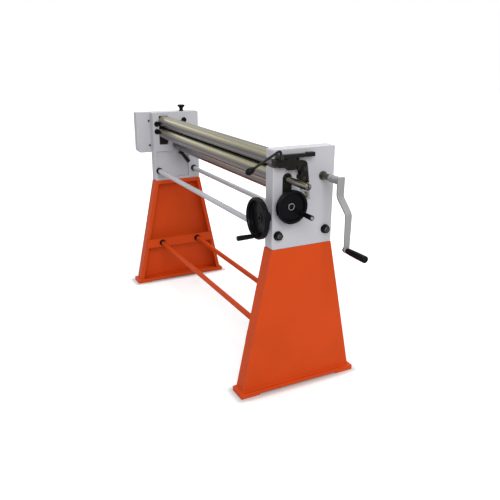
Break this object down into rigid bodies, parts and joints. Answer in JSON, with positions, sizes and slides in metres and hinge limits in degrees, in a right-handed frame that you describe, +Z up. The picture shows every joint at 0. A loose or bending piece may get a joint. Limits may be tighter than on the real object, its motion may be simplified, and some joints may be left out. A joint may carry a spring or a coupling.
{
  "type": "slip roll machine",
  "caption": "Manual slip roll on two sheet stands: pinch rolls, rear forming roll, swing-out upper roll with clamp, adjusting handwheels, geared drive and offset crank.",
  "frame": {"origin": "on the floor, at the middle of the four anchor holes in the base plates", "axes": "+X along the rolls towards the crank, +Z up, -Y towards the operator"},
  "size_m": [1.769, 0.545, 1.036],
  "materials": {
    "casting_paint": "gloss",
    "stand_paint": "gloss",
    "roll_steel": "polished",
    "plain_steel": "machined",
    "dark_steel": "blackened",
    "black_iron": "satin",
    "black_plastic": "gloss"
  },
  "bodies": {
    "frame": {"right_stand": "stand_paint", "left_stand": "stand_paint", "right_base_plate": "stand_paint", "left_base_plate": "stand_paint", "right_crossbar": "stand_paint", "left_crossbar": "stand_paint", "base_pads": "stand_paint", "upper_tie_rods": "casting_paint", "lower_tie_rods": "stand_paint", "rod_nuts": "dark_steel", "rod_washers": "dark_steel", "head_bolts": "dark_steel", "right_head": "casting_paint", "left_head": "casting_paint", "guide_bolts": "dark_steel", "seat_shoe": "plain_steel", "upper_pivot_box": "black_iron", "cam_plates": "dark_steel", "screw_cap": "dark_steel", "pocket_cover": "dark_steel", "idler_stud": "plain_steel", "gear_plate": "casting_paint", "gear_case": "casting_paint", "case_screws": "plain_steel", "crank_bushes": "black_iron", "clamp_bracket": "black_iron", "clamp_hinge_pin": "plain_steel", "bracket_screw": "plain_steel"},
    "upper_carrier": {"upper_swivel": "plain_steel", "upper_housing": "black_iron"},
    "upper_roll": {"upper_roll": "roll_steel"},
    "upper_gear": {"upper_roll_gear": "plain_steel"},
    "lower_carriage": {"right_lower_block": "black_iron", "left_lower_block": "black_iron"},
    "lower_roll": {"lower_roll": "roll_steel", "lower_roll_gear": "plain_steel"},
    "outer_wheel": {"cam_shaft": "plain_steel", "outer_handwheel": "black_plastic", "outer_grip_bolt": "plain_steel"},
    "outer_grip": {"outer_grip": "black_plastic"},
    "rear_carriage": {"right_rear_block": "plain_steel", "left_rear_block": "plain_steel"},
    "rear_roll": {"rear_roll": "roll_steel"},
    "wedge": {"wedge": "plain_steel"},
    "front_wheel": {"front_screw": "plain_steel", "front_handwheel": "black_plastic", "front_grip_bolt": "plain_steel"},
    "front_grip": {"front_grip": "black_plastic"},
    "crank": {"drive_shaft": "dark_steel", "crank_pinion": "plain_steel", "crank_arm": "casting_paint", "crank_grip_bolt": "plain_steel"},
    "crank_grip": {"crank_grip": "black_plastic"},
    "idler": {"idler_gear": "plain_steel"},
    "clamp_arm": {"clamp_arm": "black_iron", "lever_pin": "plain_steel"},
    "clamp_lever": {"clamp_lever": "black_iron", "lever_knob": "black_plastic"},
    "lock_plunger": {"lock_plunger": "black_plastic"},
    "left_lock_lever": {"left_lock_lever": "black_iron"}
  },
  "joints": [
    {"name": "upper_roll_swing", "type": "hinge", "parent": "frame", "child": "upper_carrier", "pos_m": [-0.689, -0.0745, 0.95], "axis": [0, 0, -1], "range_deg": [0, 8]},
    {"name": "upper_roll_spin", "type": "hinge", "parent": "upper_carrier", "child": "upper_roll", "pos_m": [0, -0.0745, 0.95], "axis": [1, 0, 0], "continuous": true},
    {"name": "upper_gear_spin", "type": "hinge", "parent": "frame", "child": "upper_gear", "pos_m": [-0.736, -0.0745, 0.95], "axis": [1, 0, 0], "continuous": true},
    {"name": "lower_roll_drop", "type": "slide", "parent": "frame", "child": "lower_carriage", "axis": [0, 0, -1], "range_m": [0, 0.005]},
    {"name": "lower_roll_spin", "type": "hinge", "parent": "lower_carriage", "child": "lower_roll", "pos_m": [0, -0.0745, 0.8855], "axis": [1, 0, 0], "continuous": true},
    {"name": "outer_wheel_turn", "type": "hinge", "parent": "frame", "child": "outer_wheel", "pos_m": [0.74, -0.0745, 0.788], "axis": [1, 0, 0], "range_deg": [0, 300.01]},
    {"name": "outer_grip_spin", "type": "hinge", "parent": "outer_wheel", "child": "outer_grip", "pos_m": [0.79, -0.0319, 0.75817], "axis": [1, 0, 0], "continuous": true},
    {"name": "rear_roll_lift", "type": "slide", "parent": "frame", "child": "rear_carriage", "axis": [0, -0.1582, 0.9874], "range_m": [0, 0.02061]},
    {"name": "rear_roll_spin", "type": "hinge", "parent": "rear_carriage", "child": "rear_roll", "pos_m": [0, 0.007, 0.818], "axis": [1, 0, 0], "continuous": true},
    {"name": "wedge_slide", "type": "slide", "parent": "frame", "child": "wedge", "axis": [0, 1, 0], "range_m": [0, 0.03201]},
    {"name": "front_wheel_turn", "type": "hinge", "parent": "frame", "child": "front_wheel", "pos_m": [0.689, -0.17, 0.741], "axis": [0, -1, 0], "range_deg": [0, 2880]},
    {"name": "front_grip_spin", "type": "hinge", "parent": "front_wheel", "child": "front_grip", "pos_m": [0.689, -0.23, 0.6735], "axis": [0, -1, 0], "continuous": true},
    {"name": "crank_turn", "type": "hinge", "parent": "frame", "child": "crank", "pos_m": [0.8, 0.0827, 0.886], "axis": [1, 0, 0], "continuous": true},
    {"name": "crank_grip_spin", "type": "hinge", "parent": "crank", "child": "crank_grip", "pos_m": [0.957, 0.0827, 0.636], "axis": [1, 0, 0], "continuous": true},
    {"name": "idler_spin", "type": "hinge", "parent": "frame", "child": "idler", "pos_m": [-0.736, 0.0107, 0.93205], "axis": [1, 0, 0], "continuous": true},
    {"name": "clamp_arm_lift", "type": "hinge", "parent": "frame", "child": "clamp_arm", "pos_m": [0.736, -0.019, 0.926], "axis": [-1, 0, 0], "range_deg": [0, 70]},
    {"name": "clamp_lever_lift", "type": "hinge", "parent": "clamp_arm", "child": "clamp_lever", "pos_m": [0.753, -0.1245, 0.9758], "axis": [-1, 0, 0], "range_deg": [0, 80]},
    {"name": "plunger_pull", "type": "slide", "parent": "frame", "child": "lock_plunger", "axis": [0, 0, 1], "range_m": [0, 0.008], "stiffness_N_per_m": 900, "springref_m": -0.004},
    {"name": "left_lock_turn", "type": "hinge", "parent": "frame", "child": "left_lock_lever", "pos_m": [-0.65, 0.026, 0.767], "axis": [1, 0, 0], "range_deg": [0, 40]}
  ],
  "couplings": [
    {"joint": "upper_gear_spin", "follows": "upper_roll_spin", "ratio": 1},
    {"joint": "lower_roll_spin", "follows": "upper_roll_spin", "ratio": -1},
    {"joint": "idler_spin", "follows": "upper_roll_spin", "ratio": -0.58824},
    {"joint": "crank_turn", "follows": "upper_roll_spin", "ratio": 1.0526},
    {"joint": "outer_wheel_turn", "follows": "lower_roll_drop", "rad_per_m": 1047.2},
    {"joint": "wedge_slide", "follows": "rear_roll_lift", "ratio": 1.5521},
    {"joint": "front_wheel_turn", "follows": "rear_roll_lift", "rad_per_m": 2438}
  ]
}
